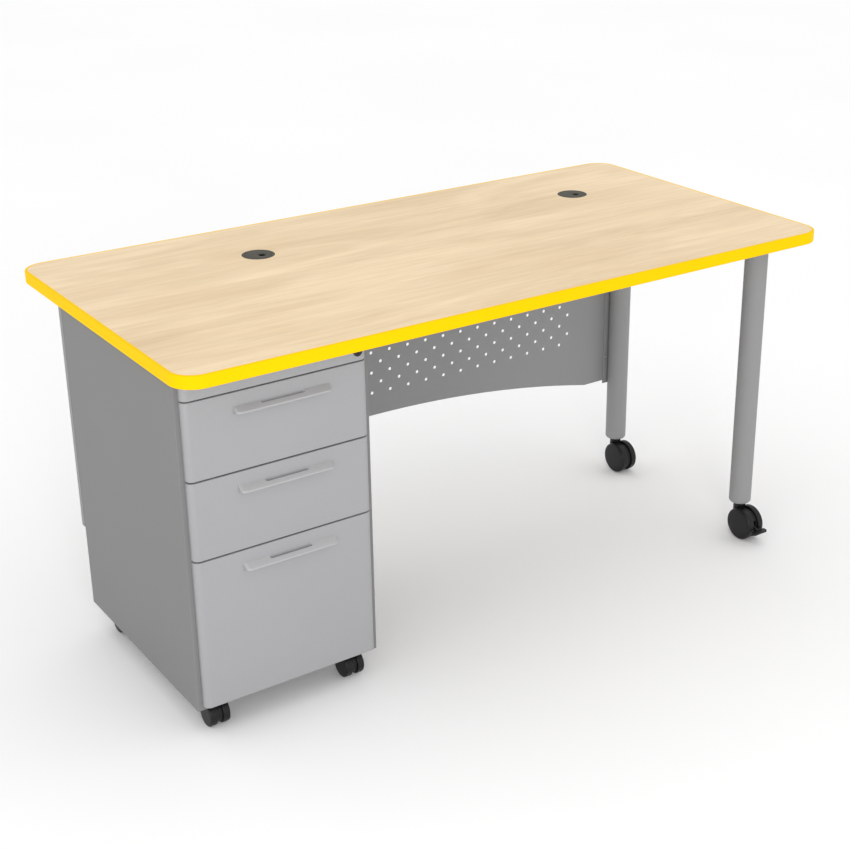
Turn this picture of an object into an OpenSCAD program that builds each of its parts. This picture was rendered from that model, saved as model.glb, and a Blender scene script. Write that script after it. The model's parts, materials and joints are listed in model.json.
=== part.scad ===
// Teacher desk: a laminate worktop on one drawer pedestal and two round legs, all on twin-wheel casters.
// Millimetres. X runs left to right, +Y to the back, +Z up. The drawers open towards -Y.
// The origin is on the floor under the middle of the worktop.

/* [Worktop] */
// Length of the worktop, left to right
top_w = 1524; // [1500:1:1560]
// Depth of the worktop, front to back
top_d = 762; // [750:1:780]
// Height of the worktop's surface above the floor
top_h = 740; // [738:1:745]
// Thickness of the worktop
top_t = 25; // [22:0.5:27]
// Radius of the worktop's corners
corner_r = 50; // [20:1:80]
// Thickness of the plastic edge band
band_t = 6; // [5:0.5:8]
// Centre of the left cable grommet from the worktop's middle, along X
grommet_left_x = -327; // [-340:1:-100]
// Centre of the right cable grommet from the worktop's middle, along X
grommet_right_x = 500; // [100:1:520]
// Distance of the grommets behind the worktop's centre line
grommet_y = 171; // [60:1:200]
// Diameter of a grommet's flange
grommet_d = 69; // [66:1:75]

/* [Pedestal] */
// Width of the pedestal case
case_w = 388; // [380:1:400]
// Distance of the case from the worktop's left edge
case_inset = 10; // [5:1:25]
// Distance of the case's front edge behind the worktop's front edge
case_setback = 60; // [50:1:65]
// Height of the case's underside above the floor
case_floor = 57; // [57:0.5:60]
// Thickness of the case and rail sheet steel
sheet = 1.2; // [0.8:0.1:1.5]
// Height of the rail above the top drawer
rail_h = 35; // [30:1:36]
// Height of the top drawer's front
drawer_1_h = 149.5; // [140:0.5:150]
// Height of the middle drawer's front
drawer_2_h = 153; // [140:0.5:154]
// Gap between two fronts
front_gap = 3; // [3:0.5:5]
// How far the fronts stand in front of the case
front_proud = 15; // [14:0.5:18]
// Radius of the fronts' upright edges
front_r = 13; // [6:0.5:13]

/* [Pulls] */
// Length of a drawer pull
pull_w = 191; // [150:1:220]
// Distance of the pulls' middle to the right of the pedestal's middle
pull_shift = 7; // [0:1:10]
// How far a pull stands out from the drawer's front
pull_proud = 14; // [12:0.5:18]
// Length of a pull's finger slot
slot_w = 88; // [70:1:110]

/* [Legs] */
// Outside diameter of the leg tubes
leg_d = 50.8; // [48:0.1:52]
// Distance of the legs' centres from the worktop's right edge
leg_inset = 116; // [100:1:130]
// Centre of the front leg from the worktop's middle, along Y
leg_front_y = -298; // [-310:1:-250]
// Centre of the back leg from the worktop's middle, along Y
leg_back_y = 155; // [150:1:160]
// Height of the tubes' lower ends above the floor
leg_floor = 84; // [84:0.5:85]

/* [Modesty panel] */
// Right end of the panel, from the worktop's middle
panel_right = 634; // [630:1:645]
// Height of the panel's left tab above the floor
panel_low = 231; // [200:1:260]
// Height of the arch's middle above the floor
panel_arch = 308; // [270:1:330]
// Diameter of a perforation
hole_d = 7.5; // [5:0.5:8]
// Distance between two rows of perforations
hole_pitch = 24.3; // [24:0.1:26]

/* [Hidden] */
$fn = 64;

// Worktop
skin = 0.8;
top_under = top_h - top_t;
core_w = top_w - 2 * band_t;
core_d = top_d - 2 * band_t;
core_r = corner_r - band_t;
band_edge_r = 2;

// Grommets
sleeve_r = 30;
sleeve_wall = 2;
sleeve_drop = top_t + 2;
flange_gap = 0.1;
ledge_w = 2;
ledge_t = 1;
ledge_drop = 3.5;
cap_gap = 0.4;
cap_lift = 0.3;
port_w = 14;
port_d = 15;
port_r = 4;
port_x = 5.4;
port_y = -6.3;

// Case, worked out from its centre line
case_left = case_inset - top_w / 2;
case_cx = case_left + case_w / 2;
case_front = case_setback - top_d / 2;
case_back = leg_back_y + leg_d / 2;
case_d = case_back - case_front;
half_w = case_w / 2;
inner_half = half_w - sheet;
return_w = 12.5;
bend_r = 3;
rail_top = top_under - 0.5;
front_half = half_w - 10.5;
front_face = case_front - front_proud;
front_sheet = 1;
front_flange = 14;
drawer_gap = 0.3;
drawer_back = case_front - drawer_gap;
drawer_1_top = rail_top - rail_h - front_gap;
drawer_2_top = drawer_1_top - drawer_1_h - front_gap;
drawer_3_top = drawer_2_top - drawer_2_h - front_gap;
base_lip = 12.5;
front_lift = 8;
drawer_3_h = drawer_3_top - case_floor - front_lift;

// Drawer boxes and slides: distances marked "in" are measured inwards from the case's inner wall
standoff_in = 7;
slide_t = 1.2;
channel_lip = 9;
channel_half_h = 22.5;
middle_in = 12;
middle_half_h = 19.5;
middle_lip = 5;
inner_in = 19.7;
inner_half_h = 15;
inner_lip = 5.2;
box_half = inner_half - inner_in;
box_t = 1;
box_d = 470;
box_1_h = 105;
box_2_h = 108;
box_3_h = 252;
box_rise = 12;
slide_rise = 34;
channel_y = case_front + 4;
channel_len = 455;
middle_y = case_front + 7;
middle_len = 448;
inner_y = case_front + 2;
inner_len = 452;

// Lock
lock_x = 164;
lock_z = top_under - 18;
barrel_r = 8;
bezel_r = 9;
bezel_t = 1.5;
barrel_back = case_front + 7;
plug_r = 6;
run_gap = 0.05;
cam_r = 8.2;
cam_t = 2;
pin_throw = 6;
pin_r = 2;
pin_len = 7;
pin_rest = pin_throw * cos(45);
bar_x = 187.3;
bar_t = 2;
bar_y = case_front + 5;
bar_w = 12;
bar_low = 95;
bar_gap = 0.3;
lug_left = 176;
lug_d = 6;
lug_h = 4;
lug_rise = 23.5;
catch_right = 180;
catch_back = 10;
catch_lift = 2;
catch_h = 6;
tab_y = barrel_back + cam_t + 1.5;
tab_t = 2;
slot_gap = 0.6;

// Pulls
pull_h = 17;
pull_drop = 25.5;
pull_end_r = 10;
pull_slot = 6;

// Legs and their casters
leg_x = top_w / 2 - leg_inset;
leg_r = leg_d / 2;
leg_wall = 2;
leg_round = 7;
leg_plate_w = 100;
leg_plate_t = 5;
leg_top = top_under - leg_plate_t;
plate_hole = 38;
wheel_r = 37.5;
wheel_half = 24;
trail = 22;
web_half = 6.5;
web_r = 33;
axle_r = 4;
axle_half = 19;
boss_r = 13;
boss_low = 52;
boss_top = leg_floor - 1.1;
stem_r = 4.5;
stem_low = 51;
grip_r = 5.5;
grip_top = 117;
collar_r = 10;
socket_low = leg_floor + 0.4;
socket_top = 121;
wheel_gap = 0.5;
pivot_out = 26;
pedal_pin_r = 2;
pedal_half = 20;
pedal_in = 41;
pedal_out = 53;
pedal_t = 5;
pedal_drop = 10;

// Pedestal casters
c_wheel_r = 25;
c_wheel_half = 21.5;
c_trail = 13;
c_web_half = 5.5;
c_web_r = 21;
c_axle_r = 3;
c_boss_r = 9;
c_boss_low = 36;
c_boss_top = case_floor - 2.8;
c_stem_r = 3.5;
c_stem_low = 33;
c_plate_w = 50;
c_plate_t = 2;
c_x = 147;
c_front_y = -278;
c_back_y = 138;
rivet_at = 19;

// Modesty panel
panel_t = 1.2;
panel_flange = 13.6;
panel_mid = -60;
foot_in = 75;
foot_step = 6.5;
tab_w = 34;
plate_cut = 9;
well_half = 33;
well_low = top_under - 30;
hole_low = 362.3;
hole_rows = 14;
hole_right = 477;
strip_x0 = 617;
strip_x1 = 640;
strip_t = 3;
strip_low = 230;
strip_top = 700;

// Fasteners
screw_r = 2.5;
screw_head_r = 4.5;
screw_head_t = 2.2;
wood_bite = 15;
steel_bite = panel_t + strip_t;
rivet_r = 2;
rivet_head_r = 3.4;
rivet_head_t = 1.2;
hole_gap = 0.1;
case_screws = [[-150, -270], [150, -270], [-150, 130], [150, 130]];
flange_screws = [-700, -400, -60, 280, 575];
flange_screw_y = case_back + 7.5;
panel_screws = [[case_cx - 155, 300], [case_cx - 155, 650], [case_cx + 155, 300], [case_cx + 155, 650],
    [624, 300], [624, 475], [624, 650]];

silver = [0.69, 0.69, 0.70];
grey = [0.55, 0.55, 0.55];
black = [0.10, 0.10, 0.10];
steel = [0.75, 0.75, 0.77];
dark = [0.33, 0.32, 0.29];

// ---------- shared shapes ----------

// A rectangle about the origin with round corners
module round_rect(w, d, r) {
    square([w - 2 * r, d], center = true);
    square([w, d - 2 * r], center = true);
    for (x = [-1, 1], y = [-1, 1])
        translate([x * (w / 2 - r), y * (d / 2 - r)]) circle(r);
}

// A rectangle from the origin with round corners
module corner_rect(w, h, r) {
    translate([w / 2, h / 2]) round_rect(w, h, r);
}

// Children copied to both sides of the plane x = 0
module both_sides() {
    for (side = [0, 1]) mirror([side, 0, 0]) children();
}

// A cylinder along X from x0 to x1
module bar_along_x(r, x0, x1) {
    translate([x0, 0, 0]) rotate([0, 90, 0]) cylinder(r = r, h = x1 - x0);
}

// A cylinder along Y from y0 to y1
module bar_along_y(r, y0, y1) {
    translate([0, y1, 0]) rotate([90, 0, 0]) cylinder(r = r, h = y1 - y0);
}

// A screw pointing up, its head's upper face at z = 0
module screw_up(r, length, head_r, head_t) {
    translate([0, 0, -head_t]) cylinder(r = head_r, h = head_t, $fn = 24);
    cylinder(r = r, h = length, $fn = 24);
}

module in_case() {
    translate([case_cx, 0, 0]) children();
}

// ---------- worktop ----------

// One layer of the worktop, its grommet holes of radius hole_r and its screw holes of radius bore_r
module top_sheet(z, t, hole_r, bore_r) {
    difference() {
        translate([0, 0, z]) linear_extrude(t) round_rect(core_w, core_d, core_r);
        for (x = [grommet_left_x, grommet_right_x])
            translate([x, grommet_y, z - 1]) cylinder(r = hole_r, h = t + 2);
        if (bore_r > 0) wood_screws() translate([0, 0, -1])
            cylinder(r = bore_r, h = wood_bite + 2, $fn = 24);
    }
}

// Places of every screw that goes up into the worktop, at the worktop's underside
module wood_screws() {
    for (p = case_screws) translate([case_cx + p[0], p[1], top_under]) children();
    for (y = [leg_front_y, leg_back_y], a = [-1, 1], b = [-1, 1])
        translate([leg_x + a * plate_hole, y + b * plate_hole, top_under]) children();
    for (x = flange_screws) translate([x, flange_screw_y, top_under]) children();
}

module top_core() {
    color([0.80, 0.68, 0.50]) top_sheet(top_under + skin, top_t - 2 * skin,
        sleeve_r + hole_gap, screw_r + run_gap);
}

module top_laminate() {
    color([0.94, 0.85, 0.71]) top_sheet(top_h - skin, skin, grommet_d / 2 + flange_gap, 0);
}

module top_backer() {
    color([0.80, 0.78, 0.74]) top_sheet(top_under, skin, sleeve_r + hole_gap, screw_r + hole_gap);
}

// Cross-section of the edge band: its flat back is at x = 0
module band_section() {
    translate([0, band_edge_r]) square([band_t, top_t - 2 * band_edge_r]);
    square([band_t - band_edge_r, top_t]);
    for (z = [band_edge_r, top_t - band_edge_r]) translate([band_t - band_edge_r, z]) circle(band_edge_r);
}

module band_straight(length) {
    translate([0, length / 2, 0]) rotate([90, 0, 0]) linear_extrude(length) band_section();
}

module edge_band() {
    color([0.98, 0.87, 0.0]) translate([0, 0, top_under]) {
        for (side = [0, 180]) rotate([0, 0, side]) {
            translate([core_w / 2, 0, 0]) band_straight(core_d - 2 * core_r);
            rotate([0, 0, 90]) translate([core_d / 2, 0, 0]) band_straight(core_w - 2 * core_r);
            translate([core_w / 2 - core_r, core_d / 2 - core_r, 0]) band_corner();
            translate([core_r - core_w / 2, core_d / 2 - core_r, 0]) rotate([0, 0, 90]) band_corner();
        }
    }
}

module band_corner() {
    rotate_extrude(angle = 90, $fn = 128) translate([core_r, 0]) band_section();
}

// A sleeve whose flange lies in the laminate, flush with its face, and whose ledge carries the cap
module grommet_sleeve(x) {
    inner_r = sleeve_r - sleeve_wall;
    color(dark) translate([x, grommet_y, top_h]) rotate_extrude() {
        translate([inner_r, -sleeve_drop]) square([sleeve_wall, sleeve_drop]);
        translate([inner_r, -skin]) square([grommet_d / 2 - inner_r, skin]);
        translate([inner_r - ledge_w, -ledge_drop]) square([ledge_w, ledge_t]);
    }
}

module grommet_cap(x) {
    cap_t = ledge_drop - ledge_t - cap_lift;
    color(dark) translate([x, grommet_y, top_h - cap_t]) linear_extrude(cap_t) difference() {
        circle(sleeve_r - sleeve_wall - cap_gap);
        translate([port_x, port_y]) round_rect(port_w, port_d, port_r);
    }
}

// ---------- legs ----------

module leg_tube(y) {
    bottom_r = leg_r - leg_round;
    color(silver) translate([leg_x, y, 0]) rotate_extrude($fn = 96) {
        translate([leg_r - leg_wall, leg_floor + leg_round])
            square([leg_wall, leg_top - leg_floor - leg_round]);
        translate([bottom_r, leg_floor + leg_round]) intersection() {
            difference() {
                circle(leg_round);
                circle(leg_round - leg_wall);
            }
            translate([0, -leg_round]) square(leg_round);
        }
    }
}

module leg_plates() {
    color(silver) for (y = [leg_front_y, leg_back_y]) translate([leg_x, y, leg_top]) difference() {
        linear_extrude(leg_plate_t) round_rect(leg_plate_w, leg_plate_w, 8);
        for (a = [-1, 1], b = [-1, 1]) translate([a * plate_hole, b * plate_hole, -1])
            cylinder(r = screw_r + hole_gap, h = leg_plate_t + 2, $fn = 24);
    }
}

module leg_sockets() {
    neck_r = leg_r - leg_round - 0.2;
    body_r = leg_r - leg_wall - run_gap;
    body_low = leg_floor + leg_round + 0.5;
    color(black) for (y = [leg_front_y, leg_back_y]) translate([leg_x, y, 0]) rotate_extrude() {
        translate([grip_r, socket_low]) square([neck_r - grip_r, body_low - socket_low]);
        translate([grip_r, body_low]) square([body_r - grip_r, socket_top - body_low]);
    }
}

module leg_caster_stems() {
    color(steel) for (y = [leg_front_y, leg_back_y]) translate([leg_x, y, 0]) {
        translate([0, 0, stem_low]) cylinder(r = stem_r, h = socket_low - stem_low);
        translate([0, 0, boss_top + 0.3]) cylinder(r = collar_r, h = socket_low - boss_top - 0.3);
        translate([0, 0, socket_low]) cylinder(r = grip_r, h = grip_top - socket_low);
    }
}

// ---------- casters, about their swivel axis, the wheels trailing towards -Y ----------

// Hood: a web between the two wheels and a round boss on the swivel axis
module caster_hood(wr, off, web, webr, ar, br, b_low, b_top, sr, s_low) {
    difference() {
        union() {
            translate([-web, 0, 0]) rotate([90, 0, 90]) linear_extrude(2 * web) {
                translate([-off, wr]) circle(webr);
                translate([-br, b_low]) square([2 * br, b_top - b_low]);
            }
            translate([0, 0, b_low]) cylinder(r = br, h = b_top - b_low);
        }
        both_sides() translate([0, -off, wr]) bar_along_x(wr + 0.7, web + 0.01, 3 * web);
        translate([0, -off, wr]) bar_along_x(ar, -web - 1, web + 1);
        translate([0, 0, s_low - 0.5]) cylinder(r = sr + run_gap, h = b_top);
    }
}

// Half section of a wheel: distance from the axle across, distance along the axle up
module wheel_section(r, x0, x1, hub) {
    width = x1 - x0;
    rim = 0.3 * r;
    translate([r - rim, x0]) corner_rect(rim, width, min(rim, width) * 0.28);
    translate([hub, x0 + 0.8]) square([r - rim - hub + 3, width - 2.6]);
    translate([hub, x0 + 0.4]) square([0.12 * r + 3, width - 1.2]);
}

module caster_wheel(r, x0, x1, hub) {
    rotate([0, 90, 0]) rotate_extrude($fn = 96) wheel_section(r, x0, x1, hub);
}

// A wheel with a blind hub, closed on its outer side
module leg_wheel() {
    cap_x = axle_half + 0.6;
    caster_wheel(wheel_r, web_half + wheel_gap, wheel_half, axle_r + run_gap);
    bar_along_x(axle_r + 1, cap_x, wheel_half - 0.8);
}

module at_leg_axle(y) {
    translate([leg_x, y - trail, wheel_r]) children();
}

module leg_hood(y) {
    color(black) translate([leg_x, y, 0])
        caster_hood(wheel_r, trail, web_half, web_r, axle_r, boss_r, boss_low, boss_top, stem_r, stem_low);
}

module leg_front_caster_hood() {
    color(black) difference() {
        leg_hood(leg_front_y);
        at_leg_axle(leg_front_y) {
            translate([-3.4, -web_r - 1, -12]) cube([6.8, web_r - 17, 26]);
            translate([0, -pivot_out, 0]) bar_along_x(pedal_pin_r + run_gap, -web_half - 1, web_half + 1);
        }
    }
}

module leg_back_caster_hood() {
    leg_hood(leg_back_y);
}

module leg_axle(y) {
    color(steel) at_leg_axle(y) bar_along_x(axle_r, -axle_half, axle_half);
}

module leg_wheel_left(y) {
    color(black) at_leg_axle(y) mirror([1, 0, 0]) leg_wheel();
}

module leg_wheel_right(y) {
    color(black) at_leg_axle(y) leg_wheel();
}

module leg_front_brake_pedal() {
    color(black) at_leg_axle(leg_front_y) {
        translate([0, -pivot_out, 0]) bar_along_x(pedal_pin_r, -web_half + 0.2, web_half - 0.2);
        translate([-3, 0, 0]) rotate([90, 0, 90]) linear_extrude(6) {
            translate([-pivot_out, 0]) circle(4.5);
            polygon([[-pivot_out, 4.5], [-pivot_out, -4.5], [-pedal_in - 2, -pedal_drop],
                [-pedal_in - 2, pedal_t - pedal_drop]]);
        }
        translate([0, -(pedal_in + pedal_out) / 2, -pedal_drop]) linear_extrude(pedal_t)
            round_rect(2 * pedal_half, pedal_out - pedal_in, 3);
    }
}

module case_caster_mount(x, y) {
    color(steel) in_case() translate([x, y, 0]) {
        difference() {
            translate([0, 0, case_floor - c_plate_t]) linear_extrude(c_plate_t)
                round_rect(c_plate_w, c_plate_w, 5);
            for (a = [-1, 1], b = [-1, 1]) translate([a * rivet_at, b * rivet_at, 0])
                cylinder(r = rivet_r + hole_gap, h = 2 * case_floor, $fn = 24);
        }
        translate([0, 0, c_stem_low]) cylinder(r = c_stem_r, h = case_floor - c_plate_t - c_stem_low);
    }
}

module case_caster_hood(x, y) {
    color(black) in_case() translate([x, y, 0]) caster_hood(c_wheel_r, c_trail, c_web_half, c_web_r,
        c_axle_r + run_gap, c_boss_r, c_boss_low, c_boss_top, c_stem_r, c_stem_low);
}

module case_caster_wheels(x, y) {
    color(black) in_case() translate([x, y - c_trail, c_wheel_r]) {
        both_sides() caster_wheel(c_wheel_r, c_web_half + wheel_gap, c_wheel_half, 0);
        bar_along_x(c_axle_r, -c_wheel_half + 2, c_wheel_half - 2);
    }
}

// ---------- pedestal case ----------

module case_wrap() {
    color(silver) in_case() difference() {
        translate([0, case_front + case_d / 2, case_floor]) linear_extrude(top_under - case_floor)
            difference() {
                round_rect(case_w, case_d, bend_r);
                round_rect(case_w - 2 * sheet, case_d - 2 * sheet, bend_r - sheet);
                translate([return_w - half_w, -case_d / 2 - 1])
                    square([case_w - 2 * return_w, bend_r + 1]);
            }
        translate([-case_cx, 0, 0]) panel_screw_holes();
    }
}

module case_top() {
    color(grey) in_case() difference() {
        translate([-inner_half, case_front + sheet, top_under - sheet])
            cube([2 * inner_half, case_d - 2 * sheet, sheet]);
        corner_cuts(top_under);
        for (p = case_screws) translate([p[0], p[1], top_under - 5])
            cylinder(r = screw_r + hole_gap, h = 10, $fn = 24);
    }
}

// Notches that clear the bend of the case's upright corners
module corner_cuts(z) {
    for (x = [-inner_half, inner_half], y = [case_front + sheet, case_back - sheet])
        translate([x - 2, y - 2, z - 20]) cube([4, 4, 40]);
}

module case_base() {
    color(silver) in_case() difference() {
        union() {
            translate([-inner_half, case_front + sheet, case_floor])
                cube([2 * inner_half, case_d - 2 * sheet, sheet]);
            translate([return_w - half_w + 0.2, case_front, case_floor])
                cube([case_w - 2 * return_w - 0.4, sheet + 0.01, base_lip]);
        }
        corner_cuts(case_floor);
        for (x = [-c_x, c_x], y = [c_front_y, c_back_y], a = [-1, 1], b = [-1, 1])
            translate([x + a * rivet_at, y + b * rivet_at, case_floor - 5])
                cylinder(r = rivet_r + hole_gap, h = 10, $fn = 24);
    }
}

// A block with the outline of a front, drawn in by an inset on its face, ends, top and bottom
module pan_block(in, z0, h, back) {
    w = front_half - in;
    r = front_r - in;
    translate([0, 0, z0 + in]) linear_extrude(h - 2 * in) {
        translate([-w, front_face + in + r]) square([2 * w, back - front_face - in - r]);
        translate([r - w, front_face + in]) square([2 * (w - r), r + 0.01]);
        for (x = [-1, 1]) translate([x * (w - r), front_face + in + r]) intersection() {
            circle(r);
            translate([-r, -r]) square([2 * r, r]);
        }
    }
}

// A pressed steel front: a pan with rounded upright edges and flanges bent inwards round its back
module drawer_front(top, h) {
    z0 = top - h;
    color(silver) in_case() difference() {
        pan_block(0, z0, h, drawer_back);
        pan_block(front_sheet, z0, h, drawer_back - front_sheet);
        translate([front_flange - front_half, case_front - front_proud / 2, z0 + front_flange])
            cube([2 * (front_half - front_flange), front_proud, h - 2 * front_flange]);
    }
}

module case_rail() {
    color(silver) in_case() difference() {
        pan_block(0, rail_top - rail_h, rail_h, case_front);
        pan_block(front_sheet, rail_top - rail_h, rail_h, case_front - front_sheet);
        translate([lock_x, 0, lock_z]) bar_along_y(barrel_r + hole_gap, front_face - 5, case_front + 5);
    }
}

// ---------- lock ----------

module at_lock() {
    in_case() translate([lock_x, 0, lock_z]) children();
}

module lock_barrel() {
    color(black) at_lock() difference() {
        union() {
            bar_along_y(barrel_r, front_face - 0.5, barrel_back);
            bar_along_y(bezel_r, front_face - bezel_t, front_face);
        }
        bar_along_y(plug_r + run_gap, front_face - 5, barrel_back + 5);
    }
}

module lock_plug() {
    face = front_face - bezel_t;
    color(steel) at_lock() {
        difference() {
            bar_along_y(plug_r, face, barrel_back + 0.5);
            translate([-0.8, face - 1, -3.6]) cube([1.6, 5, 7.2]);
        }
        bar_along_y(cam_r, barrel_back + 0.4, barrel_back + cam_t);
        translate([pin_rest, 0, -pin_rest]) bar_along_y(pin_r, barrel_back + cam_t - 0.01,
            barrel_back + cam_t + pin_len - 2);
    }
}

module lock_bar() {
    tab_left = lock_x - 4;
    slot_x0 = lock_x + pin_rest - pin_r - slot_gap;
    slot_x1 = lock_x + pin_throw + pin_r + slot_gap;
    color(steel) in_case() {
        translate([bar_x, bar_y, bar_low]) cube([bar_t, bar_w, lock_z + 3 - bar_low]);
        for (z = slide_heights) translate([lug_left, bar_y, z + lug_rise])
            cube([bar_x + bar_t - lug_left, lug_d, lug_h]);
        difference() {
            translate([tab_left, tab_y, lock_z - 13]) cube([bar_x + bar_t - tab_left, tab_t, 16]);
            translate([slot_x0, tab_y - 1, lock_z - pin_rest - pin_r - slot_gap])
                cube([slot_x1 - slot_x0, tab_t + 2, 2 * (pin_r + slot_gap)]);
        }
    }
}

// ---------- drawers ----------

// An open box with a catch on its right side for the lock bar
module drawer_box(top, h, box_h) {
    low = top - h + box_rise;
    color(grey) in_case() {
        difference() {
            translate([-box_half, drawer_back, low]) cube([2 * box_half, box_d, box_h]);
            translate([box_t - box_half, drawer_back + box_t, low + box_t])
                cube([2 * (box_half - box_t), box_d - 2 * box_t, box_h]);
        }
        translate([box_half - 0.5, bar_y + catch_back, slide_z(top, h) + lug_rise + lug_h + catch_lift])
            cube([catch_right - box_half + 0.5, lug_d, catch_h]);
    }
}

// Side section of a pull, its back against the front at y = 0 and its top edge at z = 0
module pull_section() {
    polygon([[0, 0], [2 - pull_proud, -8], [0.6 - pull_proud, -9], [-pull_proud, -10.4],
        [0.5 - pull_proud, -11.9], [2 - pull_proud, -13], [-3, -14.5], [0, -pull_h]]);
}

module drawer_pull(top) {
    color(silver) in_case() translate([pull_shift, front_face, top - pull_drop]) difference() {
        intersection() {
            translate([-pull_w / 2, 0, 0]) rotate([90, 0, 90]) linear_extrude(pull_w) pull_section();
            translate([0, 0, -pull_h]) linear_extrude(pull_h)
                translate([0, pull_end_r]) round_rect(pull_w, 2 * (pull_proud + pull_end_r), pull_end_r);
        }
        // finger slot, right through beside the front
        translate([-slot_w / 2, -pull_slot, -pull_h - 1]) cube([slot_w, pull_slot + 1, pull_h + 2]);
    }
}

// ---------- drawer slides, drawn for the right side of the case ----------

module slide_channel(z) {
    web_x = inner_half - standoff_in - slide_t;
    translate([web_x, channel_y, z - channel_half_h]) cube([slide_t, channel_len, 2 * channel_half_h]);
    for (low = [z - channel_half_h, z + channel_half_h - slide_t])
        translate([web_x + slide_t - channel_lip, channel_y, low])
            cube([channel_lip, channel_len, slide_t]);
    difference() {
        for (y = [channel_y, channel_y + channel_len - 40]) translate([web_x + slide_t, y, z - 10])
            cube([standoff_in, 30, 20]);
        translate([bar_x - bar_gap, bar_y - bar_gap, z - 20])
            cube([bar_t + 2 * bar_gap, bar_w + 2 * bar_gap, 40]);
    }
}

module slide_middle(z) {
    web_x = inner_half - middle_in - slide_t;
    translate([web_x, middle_y, z - middle_half_h]) cube([slide_t, middle_len, 2 * middle_half_h]);
    for (low = [z - middle_half_h, z + middle_half_h - slide_t])
        translate([web_x + slide_t - middle_lip, middle_y, low]) cube([middle_lip, middle_len, slide_t]);
}

module slide_inner(z) {
    web_x = inner_half - inner_in;
    translate([web_x, inner_y, z - inner_half_h]) cube([slide_t, inner_len, 2 * inner_half_h]);
    for (low = [z - inner_half_h, z + inner_half_h - slide_t])
        translate([web_x, inner_y, low]) cube([inner_lip, inner_len, slide_t]);
}

function slide_z(top, h) = top - h + box_rise + slide_rise;

slide_heights = [slide_z(drawer_1_top, drawer_1_h), slide_z(drawer_2_top, drawer_2_h),
    slide_z(drawer_3_top, drawer_3_h)];

module slide_channels() {
    color(steel) in_case() both_sides() {
        for (z = slide_heights) slide_channel(z);
    }
}

module slide_middles(z) {
    color(steel) in_case() both_sides() slide_middle(z);
}

module slide_inners(z) {
    color(steel) in_case() both_sides() slide_inner(z);
}

// ---------- modesty panel ----------

// Points of the arch from its right foot to its left foot
function arch_points(x0, x1, z0, rise, steps) =
    let (half = (x1 - x0) / 2, r = (half * half + rise * rise) / (2 * rise), a = asin(half / r))
    [for (i = [0:steps]) let (t = a - 2 * a * i / steps)
        [(x0 + x1) / 2 + r * sin(t), z0 + rise - r + r * cos(t)]];

module panel_outline() {
    foot = panel_low + foot_step;
    left = 2 * panel_mid - panel_right;
    arch = arch_points(left + foot_in, panel_right - foot_in, foot, panel_arch - foot, 28);
    polygon(concat([[panel_right, foot], [panel_right, top_under], [case_left, top_under],
        [case_left, panel_low], [left + tab_w, panel_low], [left + tab_w, foot]],
        [for (i = [len(arch) - 1:-1:0]) arch[i]]));
}

module panel_holes() {
    for (row = [0:hole_rows - 1]) {
        shift = row % 2 == 0 ? 0 : hole_pitch;
        right = hole_right + shift;
        count = floor((right - (2 * panel_mid - right)) / (2 * hole_pitch) + 0.5);
        for (i = [0:count]) translate([right - 2 * hole_pitch * i, hole_low + row * hole_pitch])
            circle(d = hole_d, $fn = 16);
    }
}

module panel_screw_holes() {
    for (p = panel_screws) translate([p[0], 0, p[1]])
        bar_along_y(screw_r + hole_gap, case_back - 6, case_back + 6);
}

module modesty_panel() {
    color(grey) difference() {
        union() {
            translate([0, case_back + panel_t, 0]) rotate([90, 0, 0]) linear_extrude(panel_t) difference() {
                panel_outline();
                panel_holes();
            }
            translate([case_left, case_back, panel_low])
                cube([panel_t, panel_flange, top_under - panel_low]);
            translate([case_left, case_back, top_under - panel_t])
                cube([panel_right - case_left, panel_flange, panel_t]);
        }
        panel_screw_holes();
        for (x = flange_screws) translate([x, flange_screw_y, top_under - 5])
            cylinder(r = screw_r + hole_gap, h = 10, $fn = 24);
        // clear of the two cable wells and of the back leg's plate
        for (x = [grommet_left_x, grommet_right_x]) translate([x - well_half, case_back - 1, well_low])
            cube([2 * well_half, 2 * panel_flange, top_h]);
        translate([leg_x - leg_plate_w / 2 - 2, case_back - 1, top_under - plate_cut])
            cube([2 * leg_plate_w, 2 * panel_flange, top_h]);
    }
}

// The upright strip that carries the panel's right end, welded to the back leg's tube
module leg_strip() {
    color(silver) difference() {
        translate([strip_x0, case_back - strip_t, strip_low])
            cube([strip_x1 - strip_x0, strip_t, strip_top - strip_low]);
        translate([leg_x, leg_back_y, 0]) cylinder(r = leg_r, h = top_h, $fn = 96);
        panel_screw_holes();
    }
}

// ---------- fasteners ----------

module fasteners() {
    color(steel) {
        for (p = case_screws) translate([case_cx + p[0], p[1], top_under - sheet])
            screw_up(screw_r, wood_bite, screw_head_r, screw_head_t);
        for (y = [leg_front_y, leg_back_y], a = [-1, 1], b = [-1, 1])
            translate([leg_x + a * plate_hole, y + b * plate_hole, leg_top])
                screw_up(screw_r, leg_plate_t + wood_bite - 2, screw_head_r, screw_head_t);
        for (x = flange_screws) translate([x, flange_screw_y, top_under - panel_t])
            screw_up(screw_r, wood_bite, screw_head_r, screw_head_t);
        for (p = panel_screws) translate([p[0], case_back + panel_t, p[1]]) rotate([90, 0, 0])
            screw_up(screw_r, steel_bite, screw_head_r, screw_head_t);
        in_case() for (x = [-c_x, c_x], y = [c_front_y, c_back_y], a = [-1, 1], b = [-1, 1])
            translate([x + a * rivet_at, y + b * rivet_at, case_floor - c_plate_t]) {
                screw_up(rivet_r, c_plate_t + sheet, rivet_head_r, rivet_head_t);
                translate([0, 0, c_plate_t + sheet]) cylinder(r = rivet_head_r, h = rivet_head_t, $fn = 24);
            }
    }
}

// ---------- nodes ----------

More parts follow.
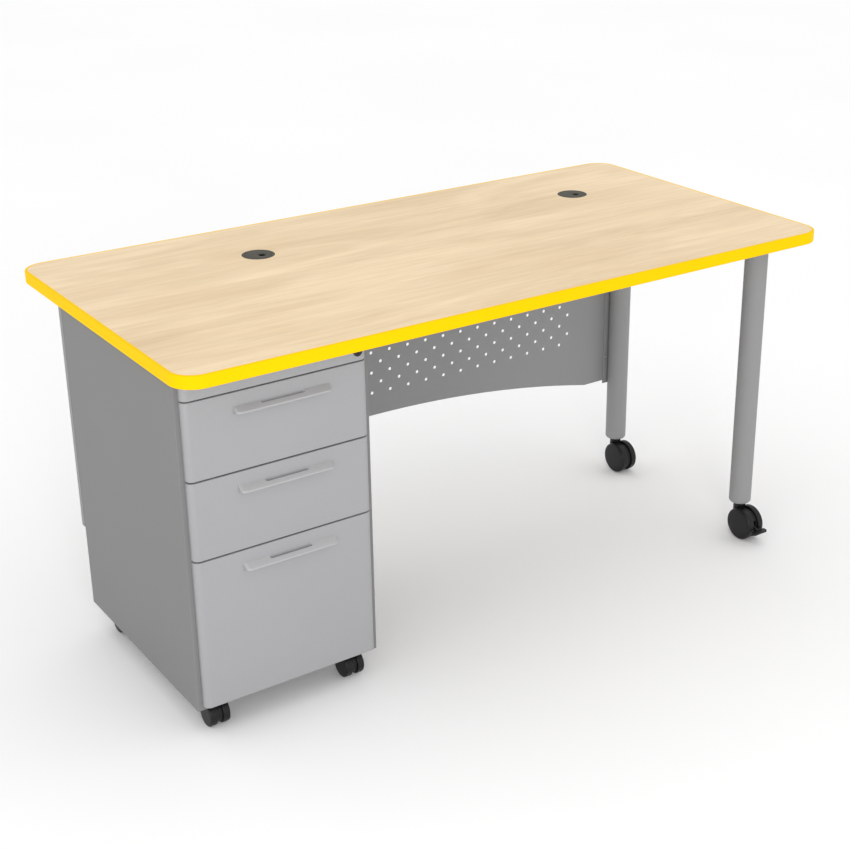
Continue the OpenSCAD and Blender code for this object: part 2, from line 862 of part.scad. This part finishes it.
top_core();
top_laminate();
top_backer();
edge_band();
grommet_sleeve(grommet_left_x);  // grommet_left_sleeve
grommet_cap(grommet_left_x);  // grommet_left_cap
grommet_sleeve(grommet_right_x);  // grommet_right_sleeve
grommet_cap(grommet_right_x);  // grommet_right_cap
leg_tube(leg_front_y);  // leg_front_tube
leg_tube(leg_back_y);  // leg_back_tube
leg_plates();
leg_sockets();
leg_caster_stems();
leg_front_caster_hood();
leg_axle(leg_front_y);  // leg_front_caster_axle
leg_wheel_left(leg_front_y);  // leg_front_caster_wheel_left
leg_wheel_right(leg_front_y);  // leg_front_caster_wheel_right
leg_front_brake_pedal();
leg_back_caster_hood();
leg_axle(leg_back_y);  // leg_back_caster_axle
leg_wheel_left(leg_back_y);  // leg_back_caster_wheel_left
leg_wheel_right(leg_back_y);  // leg_back_caster_wheel_right
case_caster_mount(-c_x, c_front_y);  // case_caster_front_left_mount
case_caster_hood(-c_x, c_front_y);  // case_caster_front_left_hood
case_caster_wheels(-c_x, c_front_y);  // case_caster_front_left_wheels
case_caster_mount(c_x, c_front_y);  // case_caster_front_right_mount
case_caster_hood(c_x, c_front_y);  // case_caster_front_right_hood
case_caster_wheels(c_x, c_front_y);  // case_caster_front_right_wheels
case_caster_mount(-c_x, c_back_y);  // case_caster_back_left_mount
case_caster_hood(-c_x, c_back_y);  // case_caster_back_left_hood
case_caster_wheels(-c_x, c_back_y);  // case_caster_back_left_wheels
case_caster_mount(c_x, c_back_y);  // case_caster_back_right_mount
case_caster_hood(c_x, c_back_y);  // case_caster_back_right_hood
case_caster_wheels(c_x, c_back_y);  // case_caster_back_right_wheels
case_wrap();
case_top();
case_base();
case_rail();
lock_barrel();
lock_plug();
lock_bar();
drawer_front(drawer_1_top, drawer_1_h);  // drawer_1_front
drawer_box(drawer_1_top, drawer_1_h, box_1_h);  // drawer_1_box
drawer_pull(drawer_1_top);  // drawer_1_pull
drawer_front(drawer_2_top, drawer_2_h);  // drawer_2_front
drawer_box(drawer_2_top, drawer_2_h, box_2_h);  // drawer_2_box
drawer_pull(drawer_2_top);  // drawer_2_pull
drawer_front(drawer_3_top, drawer_3_h);  // drawer_3_front
drawer_box(drawer_3_top, drawer_3_h, box_3_h);  // drawer_3_box
drawer_pull(drawer_3_top);  // drawer_3_pull
slide_channels();
slide_middles(slide_z(drawer_1_top, drawer_1_h));  // drawer_1_slide_middle
slide_inners(slide_z(drawer_1_top, drawer_1_h));  // drawer_1_slide_inner
slide_middles(slide_z(drawer_2_top, drawer_2_h));  // drawer_2_slide_middle
slide_inners(slide_z(drawer_2_top, drawer_2_h));  // drawer_2_slide_inner
slide_middles(slide_z(drawer_3_top, drawer_3_h));  // drawer_3_slide_middle
slide_inners(slide_z(drawer_3_top, drawer_3_h));  // drawer_3_slide_inner
modesty_panel();
leg_strip();
fasteners();
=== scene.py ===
import json
import math

import bmesh
import bpy
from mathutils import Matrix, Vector


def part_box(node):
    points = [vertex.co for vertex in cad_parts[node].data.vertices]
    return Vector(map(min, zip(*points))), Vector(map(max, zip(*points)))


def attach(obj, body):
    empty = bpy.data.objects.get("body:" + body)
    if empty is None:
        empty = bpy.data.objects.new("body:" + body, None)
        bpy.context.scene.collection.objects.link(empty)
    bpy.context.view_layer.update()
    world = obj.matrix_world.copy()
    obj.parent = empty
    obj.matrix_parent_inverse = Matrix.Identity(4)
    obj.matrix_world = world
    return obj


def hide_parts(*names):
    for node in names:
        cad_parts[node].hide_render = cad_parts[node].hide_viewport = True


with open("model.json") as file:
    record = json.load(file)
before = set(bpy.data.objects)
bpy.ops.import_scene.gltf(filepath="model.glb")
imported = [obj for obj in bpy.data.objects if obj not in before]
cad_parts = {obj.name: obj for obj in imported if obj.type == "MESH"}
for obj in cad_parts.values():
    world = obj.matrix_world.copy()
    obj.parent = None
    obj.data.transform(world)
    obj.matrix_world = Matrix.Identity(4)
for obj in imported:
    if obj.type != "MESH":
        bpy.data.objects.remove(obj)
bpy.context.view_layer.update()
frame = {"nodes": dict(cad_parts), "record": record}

MM = 0.001
NODES = frame["nodes"]


# ---------- places, from the frame ----------

def body_of_node(node):
    for body, members in frame["record"]["behaviour"]["bodies"].items():
        if node in members:
            return body
    raise ValueError(node)


def slot_of_node(node):
    for row in frame["record"]["subparts"]:
        if row["node"] == node:
            return row["material_slot"]
    raise ValueError(node)


# ---------- materials ----------

GRAIN_DEPTH = 0.1 * MM
FIBRE_DEPTH = 0.05 * MM
CHIP_DEPTH = 0.3 * MM
# size of a finish's broad patches, as a noise scale
PATCH_SCALE = 6.0


class Graph:
    """A material's node tree, with short ways to add and join nodes."""

    def __init__(self, name):
        self.material = bpy.data.materials.new(name)
        self.material.use_nodes = True
        self.tree = self.material.node_tree
        self.shader = self.tree.nodes["Principled BSDF"]
        self.place = self.tree.nodes.new("ShaderNodeTexCoord").outputs["Object"]

    def add(self, kind, **values):
        node = self.tree.nodes.new("ShaderNode" + kind)
        for key, value in values.items():
            if key in node.inputs:
                node.inputs[key].default_value = value
            else:
                setattr(node, key, value)
        return node

    def join(self, output, socket):
        self.tree.links.new(output, socket)

    def stretched(self, x, y, z):
        """The object's coordinates, stretched by these factors."""
        mapping = self.add("Mapping")
        mapping.inputs["Scale"].default_value = (x, y, z)
        self.join(self.place, mapping.inputs["Vector"])
        return mapping.outputs["Vector"]

    def noise(self, vector, scale, detail=2.0, roughness=0.5, distortion=0.0):
        node = self.add("TexNoise", Scale=scale, Detail=detail, Roughness=roughness, Distortion=distortion)
        self.join(vector, node.inputs["Vector"])
        return node.outputs["Fac"]

    def ramp(self, factor, stops):
        node = self.add("ValToRGB")
        elements = node.color_ramp.elements
        elements[0].position, elements[0].color = stops[0][0], (*stops[0][1], 1)
        elements[1].position, elements[1].color = stops[-1][0], (*stops[-1][1], 1)
        for position, colour in stops[1:-1]:
            elements.new(position).color = (*colour, 1)
        self.join(factor, node.inputs["Fac"])
        return node.outputs["Color"]

    def spread(self, factor, low, high):
        """A factor around 0.5 turned into a value between low and high."""
        node = self.add("MapRange")
        for key, value in (("From Min", 0.3), ("From Max", 0.7), ("To Min", low), ("To Max", high)):
            node.inputs[key].default_value = value
        self.join(factor, node.inputs["Value"])
        return node.outputs["Result"]

    def darkened(self, colour, factor, shade):
        """The colour, multiplied by shade where factor is 1."""
        node = self.add("Mix", data_type="RGBA", blend_type="MULTIPLY")
        self.join(factor, node.inputs[0])
        self.join(colour, node.inputs[6])
        node.inputs[7].default_value = (*shade, 1)
        return node.outputs[2]

    def bump(self, height, strength, distance):
        node = self.add("Bump", Strength=strength, Distance=distance)
        self.join(height, node.inputs["Height"])
        self.join(node.outputs["Normal"], self.shader.inputs["Normal"])

    def set(self, **values):
        for key, value in values.items():
            self.shader.inputs[key.replace("_", " ")].default_value = value


def speckled(name, colour, change, grain, roughness, bump=0.0, metallic=0.0, sheen=0.5):
    """A finish whose colour and gloss vary a little in fine grains and in broad, faint patches."""
    g = Graph(name)
    fine = g.noise(g.place, grain, detail=3.0)
    broad = g.noise(g.place, PATCH_SCALE, detail=2.0)
    low = tuple(c * (1 - change) for c in colour)
    high = tuple(min(1.0, c * (1 + change)) for c in colour)
    tone = g.ramp(fine, [(0.3, low), (0.7, high)])
    faint = g.spread(broad, 0.0, 0.5)
    g.join(g.darkened(tone, faint, (1 - change,) * 3), g.shader.inputs["Base Color"])
    g.join(g.spread(fine, *roughness), g.shader.inputs["Roughness"])
    g.set(Metallic=metallic, Specular_IOR_Level=sheen)
    if bump:
        g.bump(fine, bump, GRAIN_DEPTH)
    return g.material


def maple():
    """Pale maple laminate: faint streaks, broad warm clouds and short fibres along X under a satin face."""
    g = Graph("maple_laminate")
    streaks = g.noise(g.stretched(1.4, 26.0, 1.0), 3.0, detail=7.0, roughness=0.7, distortion=0.7)
    tone = g.ramp(streaks, [(0.28, (0.84, 0.645, 0.41)), (0.45, (0.885, 0.70, 0.46)),
                            (0.58, (0.92, 0.74, 0.50)), (0.74, (0.95, 0.785, 0.55))])
    clouds = g.noise(g.stretched(1.1, 5.5, 1.0), 1.6, detail=4.0, roughness=0.6, distortion=0.5)
    tone = g.darkened(tone, g.spread(clouds, 0.0, 1.0), (0.80, 0.755, 0.69))
    fibres = g.noise(g.stretched(9.0, 420.0, 1.0), 1.0, detail=5.0, roughness=0.75)
    tone = g.darkened(tone, g.spread(fibres, 0.0, 0.7), (0.90, 0.86, 0.79))
    g.join(tone, g.shader.inputs["Base Color"])
    g.join(g.spread(fibres, 0.42, 0.52), g.shader.inputs["Roughness"])
    g.bump(fibres, 0.05, FIBRE_DEPTH)
    g.set(Specular_IOR_Level=0.35)
    return g.material


def core_board():
    """Raw particle board: brown and pale chips that lie flat."""
    g = Graph("core_board")
    chips = g.noise(g.stretched(1.0, 1.6, 2.4), 240.0, detail=3.0)
    tone = g.ramp(chips, [(0.32, (0.34, 0.22, 0.12)), (0.5, (0.55, 0.40, 0.24)),
                          (0.68, (0.70, 0.55, 0.36))])
    g.join(tone, g.shader.inputs["Base Color"])
    g.bump(chips, 0.3, CHIP_DEPTH)
    g.set(Roughness=0.85)
    return g.material


def zinc_plate():
    """Bright zinc plate with a faint brushed grain across Z."""
    g = Graph("zinc_steel")
    brushed = g.noise(g.stretched(12.0, 12.0, 1400.0), 1.0, detail=3.0)
    tone = g.ramp(brushed, [(0.3, (0.56, 0.57, 0.58)), (0.7, (0.60, 0.61, 0.63))])
    g.join(tone, g.shader.inputs["Base Color"])
    g.join(g.spread(brushed, 0.36, 0.42), g.shader.inputs["Roughness"])
    g.set(Metallic=0.9)
    return g.material


# speckled(name, colour, change, grain, (lowest, highest roughness), ...)
MATERIALS = {
    "core_board": core_board(),
    "maple_laminate": maple(),
    "backing_sheet": speckled("backing_sheet", (0.52, 0.49, 0.44), 0.06, 260.0, (0.55, 0.68)),
    "yellow_edge": speckled("yellow_edge", (0.93, 0.585, 0.0005), 0.02, 900.0, (0.50, 0.60),
                            bump=0.05, sheen=0.04),
    "grommet_plastic": speckled("grommet_plastic", (0.046, 0.044, 0.030), 0.12, 1400.0, (0.50, 0.65),
                                bump=0.25, sheen=0.3),
    "front_paint": speckled("front_paint", (0.325, 0.325, 0.335), 0.04, 1600.0, (0.30, 0.40),
                            bump=0.08, sheen=0.6),
    # case_paint is the fronts' silver paint made darker: the difference is painted shade on the case's
    # sides
    "case_paint": speckled("case_paint", (0.208, 0.208, 0.208), 0.04, 1600.0, (0.44, 0.54),
                           bump=0.08, sheen=0.15),
    "leg_paint": speckled("leg_paint", (0.285, 0.285, 0.285), 0.04, 1600.0, (0.36, 0.46),
                          bump=0.08, sheen=0.12),
    "pull_paint": speckled("pull_paint", (0.42, 0.42, 0.43), 0.04, 1600.0, (0.30, 0.40),
                           bump=0.05, metallic=0.2),
    "panel_paint": speckled("panel_paint", (0.260, 0.260, 0.261), 0.04, 1600.0, (0.42, 0.54),
                            bump=0.08, sheen=0.35),
    "box_paint": speckled("box_paint", (0.30, 0.30, 0.31), 0.06, 1200.0, (0.48, 0.60), bump=0.12),
    "zinc_steel": zinc_plate(),
    "caster_plastic": speckled("caster_plastic", (0.0065, 0.0065, 0.007), 0.12, 700.0, (0.36, 0.46),
                               bump=0.08, sheen=0.3),
    "lock_metal": speckled("lock_metal", (0.035, 0.035, 0.038), 0.10, 900.0, (0.24, 0.34), metallic=0.7),
}


# ---------- pieces ----------

def finish_piece(name, mesh, nodes, smooth_angle=40.0):
    """Puts a finished mesh in the scene in place of these CAD nodes, on the body of the first."""
    mesh.materials.clear()
    mesh.materials.append(MATERIALS[slot_of_node(nodes[0])])
    piece = bpy.data.objects.new(name, mesh)
    bpy.context.scene.collection.objects.link(piece)
    mesh.shade_smooth()
    mesh.set_sharp_from_angle(angle=math.radians(smooth_angle))
    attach(piece, body_of_node(nodes[0]))
    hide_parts(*nodes)
    return piece


def mesh_from(bm, name):
    bmesh.ops.recalc_face_normals(bm, faces=bm.faces)
    mesh = bpy.data.meshes.new(name)
    bm.to_mesh(mesh)
    bm.free()
    return mesh


def with_modifiers(mesh, add):
    """The mesh after the modifiers that add() puts on an object holding it."""
    holder = bpy.data.objects.new("holder", mesh)
    bpy.context.scene.collection.objects.link(holder)
    add(holder)
    bpy.context.view_layer.update()
    made = bpy.data.meshes.new_from_object(holder.evaluated_get(bpy.context.evaluated_depsgraph_get()))
    bpy.data.objects.remove(holder)
    return made


def arc(centre, radius, start, end, steps):
    """Points on an arc in a plane, angles in degrees."""
    made = []
    for i in range(steps + 1):
        t = math.radians(start + (end - start) * i / steps)
        made.append((centre[0] + radius * math.cos(t), centre[1] + radius * math.sin(t)))
    return made


def revolved(profile, axis, centre, steps=96):
    """A closed profile of (distance from the axis, place along it) turned round an axis through centre."""
    x, y, z = Vector((1, 0, 0)), Vector((0, 1, 0)), Vector((0, 0, 1))
    along, across = {"X": (x, (y, z)), "Z": (z, (x, y))}[axis]
    bm = bmesh.new()
    rings = []
    for distance, height in profile:
        if distance < 1e-6:
            rings.append([bm.verts.new(centre + along * height)])
            continue
        ring = []
        for i in range(steps):
            t = 2 * math.pi * i / steps
            spoke = across[0] * math.cos(t) + across[1] * math.sin(t)
            ring.append(bm.verts.new(centre + spoke * distance + along * height))
        rings.append(ring)
    for a, b in zip(rings, rings[1:] + rings[:1]):
        for i in range(steps):
            j = (i + 1) % steps
            face = list(dict.fromkeys([a[i % len(a)], a[j % len(a)], b[j % len(b)], b[i % len(b)]]))
            if len(face) > 2:
                bm.faces.new(face)
    return bm


def skin(rows):
    """Quads between rows of points that have the same count, with a flat cap on each end row."""
    bm = bmesh.new()
    made = [[bm.verts.new(p) for p in row] for row in rows]
    for a, b in zip(made, made[1:]):
        for i in range(len(a) - 1):
            bm.faces.new((a[i], a[i + 1], b[i + 1], b[i]))
    bm.faces.new(made[0])
    bm.faces.new(made[-1])
    return bm


# ---------- drawer fronts and the rail ----------

FRONT_R = 13 * MM
FRONT_EDGE = 1.6 * MM
FRONT_SHEET = 1.0 * MM
FLANGE = 14 * MM
# keeps the flange's outer face off the sheet's own back edge
FLANGE_STEP = 0.02 * MM


def front_outline(low, high, inset):
    """The front's outline seen from above, from its back left corner round to its back right corner."""
    r = FRONT_R - inset
    left, right, face = low.x + inset, high.x - inset, low.y + inset
    points = [(left, high.y)]
    points += arc((left + r, face + r), r, 180, 270, 14)
    points += arc((right - r, face + r), r, 270, 360, 14)
    points.append((right, high.y))
    return points


def upright_corners(low, high, inset):
    """The four corners, as (x, z), of the box's front face drawn in by an inset."""
    left, right, bottom, top = low.x + inset, high.x - inset, low.z + inset, high.z - inset
    return [(left, bottom), (right, bottom), (right, top), (left, top)]


def add_back_flange(bm, low, high):
    """The flange bent in round the back of a front: a flat ring, one sheet thick."""
    outer, back = FRONT_SHEET / 2, high.y - FLANGE_STEP
    inner = back - FRONT_SHEET
    rings = []
    for inset, y in ((outer, back), (FLANGE, back), (FLANGE, inner), (outer, inner)):
        rings.append([bm.verts.new((x, y, z)) for x, z in upright_corners(low, high, inset)])
    for a, b in zip(rings, rings[1:] + rings[:1]):
        for i in range(4):
            j = (i + 1) % 4
            bm.faces.new((a[i], a[j], b[j], b[i]))


def front_mesh(low, high):
    """A drawer front: sheet with rounded top and bottom edges, and the flange round its back."""
    rounding = arc((0, 0), FRONT_EDGE, 0, 90, 6)
    levels = [(FRONT_EDGE - across, low.z + FRONT_EDGE - up) for across, up in reversed(rounding)]
    levels += [(FRONT_EDGE - across, high.z - FRONT_EDGE + up) for across, up in rounding]
    rows = [[(x, y, z) for x, y in front_outline(low, high, inset)] for inset, z in levels]
    mesh = mesh_from(skin(rows), "front")

    def thicken(holder):
        solidify = holder.modifiers.new("sheet", "SOLIDIFY")
        solidify.thickness = FRONT_SHEET
        solidify.offset = -1

    made = with_modifiers(mesh, thicken)
    bm = bmesh.new()
    bm.from_mesh(made)
    add_back_flange(bm, low, high)
    return mesh_from(bm, "front")


for drawer in (1, 2, 3):
    node = f"drawer_{drawer}_front"
    finish_piece(f"front_{drawer}", front_mesh(*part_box(node)), [node])


# ---------- pulls ----------

PULL_END_R = 10 * MM
PULL_LIP_R = 2.4 * MM
PULL_LIP_DROP = 10.5 * MM
SLOT_HALF = 44 * MM
SLOT_R = 3 * MM


def pull_section(proud, height):
    """Side view of a pull as (distance out, distance down) from its top edge at the front."""
    lip = proud - PULL_LIP_R
    points = [(0, 0), (0.5 * lip, 3.7 * MM)]
    points += arc((lip, PULL_LIP_DROP), PULL_LIP_R, -58, 75, 9)
    points += [(3 * MM, 14.6 * MM), (1.2 * MM, 15.4 * MM), (0, height)]
    return points


def pull_mesh(low, high):
    """A pull with rounded ends, and its finger slot cut right through beside the front."""
    proud, height, half = high.y - low.y, high.z - low.z, (high.x - low.x) / 2
    centre = (low.x + high.x) / 2
    section = pull_section(proud, height)
    stations = [half - PULL_END_R * (1 - math.sin(math.radians(a))) for a in range(0, 91, 10)]
    stations = sorted([-s for s in stations] + stations)
    rows = []
    for s in stations:
        past = max(0.0, abs(s) - (half - PULL_END_R))
        reach = (proud - PULL_END_R + math.sqrt(max(0.0, PULL_END_R ** 2 - past ** 2))) / proud
        rows.append([(centre + s, high.y - out * reach, high.z - down) for out, down in section])
    bm = skin(rows)
    bm.verts.ensure_lookup_table()
    count = len(section)
    for i in range(len(stations) - 1):
        a, b = i * count, (i + 1) * count
        bm.faces.new((bm.verts[a], bm.verts[b], bm.verts[b + count - 1], bm.verts[a + count - 1]))
    mesh = mesh_from(bm, "pull")

    cutter_bm = bmesh.new()
    outline = arc((SLOT_HALF - SLOT_R, -SLOT_R), SLOT_R, -90, 90, 8)
    outline += arc((SLOT_R - SLOT_HALF, -SLOT_R), SLOT_R, 90, 270, 8)
    levels = (low.z - 5 * MM, high.z + 5 * MM)
    rings = [[cutter_bm.verts.new((centre + x, high.y + y, z)) for x, y in outline] for z in levels]
    for i in range(len(outline)):
        j = (i + 1) % len(outline)
        cutter_bm.faces.new((rings[0][i], rings[0][j], rings[1][j], rings[1][i]))
    for ring in rings:
        cutter_bm.faces.new(ring)
    cutter = bpy.data.objects.new("cutter", mesh_from(cutter_bm, "cutter"))
    bpy.context.scene.collection.objects.link(cutter)

    def cut(holder):
        boolean = holder.modifiers.new("slot", "BOOLEAN")
        boolean.operation, boolean.object, boolean.solver = "DIFFERENCE", cutter, "EXACT"

    made = with_modifiers(mesh, cut)
    bpy.data.objects.remove(cutter)
    return made


for drawer in (1, 2, 3):
    node = f"drawer_{drawer}_pull"
    finish_piece(f"pull_{drawer}", pull_mesh(*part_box(node)), [node], smooth_angle=30.0)


# ---------- casters ----------

DISH = 0.6 * MM
TREAD_R = 1.2 * MM
LEG_HUB_R = 4.05 * MM
LEG_HUB_WALL = 4.4 * MM
CASE_WHEEL_INNER = 6 * MM
CASE_AXLE_R = 3 * MM
# how far the pedestal casters' axle reaches into each wheel
AXLE_BITE = 2 * MM


def wheel_profile(radius, width, hub, hub_depth):
    """Half section of a wheel, from its inner face at 0 to its outer face at width."""
    shoulder = 0.13 * radius
    crown = 0.03 * radius
    points = [(hub, DISH), (0.70 * radius, DISH), (0.74 * radius, 0)]
    points += arc((radius - TREAD_R, TREAD_R), TREAD_R, -90, 0, 5)
    points += arc((radius - shoulder, width - crown - shoulder), shoulder, 0, 84, 10)
    for share in (0.80, 0.64, 0.48, 0.32, 0.16):
        points.append((share * radius, width - crown * share ** 2))
    points.append((0, width))
    if hub_depth:
        points += [(0, hub_depth), (hub, hub_depth)]
    else:
        points[0] = (0, DISH)
    return points


def leg_wheel(node, side):
    """A leg caster's wheel: a blind hub, open towards the hood."""
    low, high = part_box(node)
    centre = (low + high) / 2
    radius, width = (high.z - low.z) / 2, high.x - low.x
    outline = wheel_profile(radius, width, LEG_HUB_R, width - LEG_HUB_WALL)
    outline = [(r, side * (h - width / 2)) for r, h in outline]
    finish_piece(node.replace("caster_", ""), mesh_from(revolved(outline, "X", centre), node), [node])


for where in ("front", "back"):
    leg_wheel(f"leg_{where}_caster_wheel_left", -1)
    leg_wheel(f"leg_{where}_caster_wheel_right", 1)


def case_wheels(node):
    """Both wheels of a pedestal caster and the axle that turns with them."""
    low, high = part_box(node)
    centre = (low + high) / 2
    radius, half = (high.z - low.z) / 2, (high.x - low.x) / 2
    width = half - CASE_WHEEL_INNER
    bm = bmesh.new()
    for side in (-1, 1):
        outline = wheel_profile(radius, width, 0, 0)
        outline = [(r, side * (h + CASE_WHEEL_INNER)) for r, h in outline]
        bm.from_mesh(mesh_from(revolved(outline, "X", centre, steps=72), "part"))
    reach = CASE_WHEEL_INNER + AXLE_BITE
    outline = [(0, -reach), (CASE_AXLE_R, -reach), (CASE_AXLE_R, reach), (0, reach)]
    bm.from_mesh(mesh_from(revolved(outline, "X", centre, steps=32), "part"))
    finish_piece(node.replace("caster_", "") + "_pair", mesh_from(bm, node), [node])


for depth in ("front", "back"):
    for side in ("left", "right"):
        case_wheels(f"case_caster_{depth}_{side}_wheels")


# ---------- grommets ----------

SLEEVE_OUTER = 30 * MM
SLEEVE_INNER = 28 * MM
FLANGE_T = 0.8 * MM
RING_EDGE = 0.35 * MM
LEDGE_TOP = 2.5 * MM
LEDGE_LOW = 3.5 * MM
LEDGE_W = 2 * MM
CAP_EDGE = 0.4 * MM
PORT = Vector((5.4 * MM, -6.3 * MM, 0))
PORT_HALF = (7 * MM, 7.5 * MM)
PORT_R = 4 * MM


def grommet_sleeve(node):
    """A sleeve with a flush flange at its top and a small ledge under the cap."""
    low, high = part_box(node)
    centre = Vector(((low.x + high.x) / 2, (low.y + high.y) / 2, high.z))
    flange, drop = (high.x - low.x) / 2, high.z - low.z
    ledge = SLEEVE_INNER - LEDGE_W
    outline = arc((flange - RING_EDGE, -RING_EDGE), RING_EDGE, 0, 90, 5)
    outline += arc((SLEEVE_INNER + RING_EDGE, -RING_EDGE), RING_EDGE, 90, 180, 5)
    outline += [(SLEEVE_INNER, -LEDGE_TOP), (ledge, -LEDGE_TOP), (ledge, -LEDGE_LOW)]
    outline += [(SLEEVE_INNER, -LEDGE_LOW), (SLEEVE_INNER, -drop), (SLEEVE_OUTER, -drop)]
    outline += [(SLEEVE_OUTER, -FLANGE_T), (flange, -FLANGE_T)]
    finish_piece(node + "_ring", mesh_from(revolved(outline, "Z", centre), node), [node])


def port_outline(grow):
    """The cap's cable port, grown by a little, as points round its middle."""
    r = PORT_R + grow
    across, along = PORT_HALF[0] + grow - r, PORT_HALF[1] + grow - r
    points = []
    for quarter, (x, y) in enumerate(((1, 1), (-1, 1), (-1, -1), (1, -1))):
        points += arc((x * across, y * along), r, 90 * quarter, 90 * quarter + 90, 8)
    return points


def grommet_cap(node):
    """A flat disc with rounded edges and a cable port through it."""
    low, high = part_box(node)
    centre = Vector(((low.x + high.x) / 2, (low.y + high.y) / 2, 0))
    radius = (high.x - low.x) / 2
    rounding = arc((0, 0), CAP_EDGE, 0, 90, 4)
    levels = [(0.0, low.z)] + [(CAP_EDGE - across, high.z - CAP_EDGE + up) for across, up in rounding]
    bm = bmesh.new()
    loops = {"rim": [], "port": []}
    for inset, z in levels:
        rim = arc((0, 0), radius - inset, 0, 360, 96)[:-1]
        loops["rim"].append([bm.verts.new(centre + Vector((x, y, z))) for x, y in rim])
        port = port_outline(inset)
        loops["port"].append([bm.verts.new(centre + PORT + Vector((x, y, z))) for x, y in port])
    for rings in loops.values():
        for a, b in zip(rings, rings[1:]):
            for i in range(len(a)):
                j = (i + 1) % len(a)
                bm.faces.new((a[i], a[j], b[j], b[i]))
    for level in (0, -1):
        edges = []
        for rings in loops.values():
            ring = rings[level]
            edges += [bm.edges.get((ring[i - 1], ring[i])) for i in range(len(ring))]
        bmesh.ops.triangle_fill(bm, use_beauty=True, edges=edges)
    finish_piece(node + "_disc", mesh_from(bm, node), [node])


for side in ("left", "right"):
    grommet_sleeve(f"grommet_{side}_sleeve")
    grommet_cap(f"grommet_{side}_cap")


# ---------- finishes of the CAD nodes that are shown as they are ----------

for name, node in NODES.items():
    node.data.materials.clear()
    node.data.materials.append(MATERIALS[slot_of_node(name)])


# ---------- stage ----------

FLOOR_HALF = 40.0
CAMERA_PLACE = (-1.72249, -2.60876, 1.69373)
CAMERA_PITCH = 67.5
CAMERA_YAW = -35.39


def add_floor():
    mesh = bpy.data.meshes.new("floor")
    square = [(x * FLOOR_HALF, y * FLOOR_HALF, 0) for x, y in ((-1, -1), (1, -1), (1, 1), (-1, 1))]
    mesh.from_pydata(square, [], [(0, 1, 2, 3)])
    floor = bpy.data.objects.new("floor", mesh)
    bpy.context.scene.collection.objects.link(floor)
    g = Graph("floor")
    cloud = g.noise(g.place, 0.8, detail=1.0)
    tone = g.ramp(cloud, [(0.3, (0.955, 0.955, 0.955)), (0.7, (0.97, 0.97, 0.97))])
    g.join(tone, g.shader.inputs["Base Color"])
    g.set(Roughness=0.9, Specular_IOR_Level=0.1)
    mesh.materials.append(g.material)


def add_light(name, place, target, size, power):
    data = bpy.data.lights.new(name, "AREA")
    data.shape = "DISK"
    data.size = size
    data.energy = power
    light = bpy.data.objects.new(name, data)
    light.location = place
    light.rotation_euler = (Vector(target) - Vector(place)).to_track_quat("-Z", "Y").to_euler()
    bpy.context.scene.collection.objects.link(light)


def add_world(level):
    """An even white surround."""
    world = bpy.data.worlds.new("studio")
    bpy.context.scene.world = world
    world.use_nodes = True
    background = world.node_tree.nodes["Background"]
    background.inputs["Color"].default_value = (1, 1, 1, 1)
    background.inputs["Strength"].default_value = level


def add_camera():
    """The main view: from in front of the desk's left end, looking down at it."""
    data = bpy.data.cameras.new("camera")
    data.sensor_width = 36.0
    data.lens = 65.58
    data.shift_x = -0.0722
    data.shift_y = -0.0327
    data.clip_end = 200.0
    camera = bpy.data.objects.new("camera", data)
    camera.location = CAMERA_PLACE
    camera.rotation_euler = (math.radians(CAMERA_PITCH), 0, math.radians(CAMERA_YAW))
    bpy.context.scene.collection.objects.link(camera)
    bpy.context.scene.camera = camera


add_floor()
add_world(1.02)
add_light("key", (-2.0, -4.3, 1.9), (-0.3, 0, 0.4), 1.4, 46.0)
add_light("low_left", (-3.2, -2.6, 0.25), (-0.7, -0.3, 0.4), 0.7, 12.0)
add_camera()
bpy.context.scene.view_settings.view_transform = "Standard"
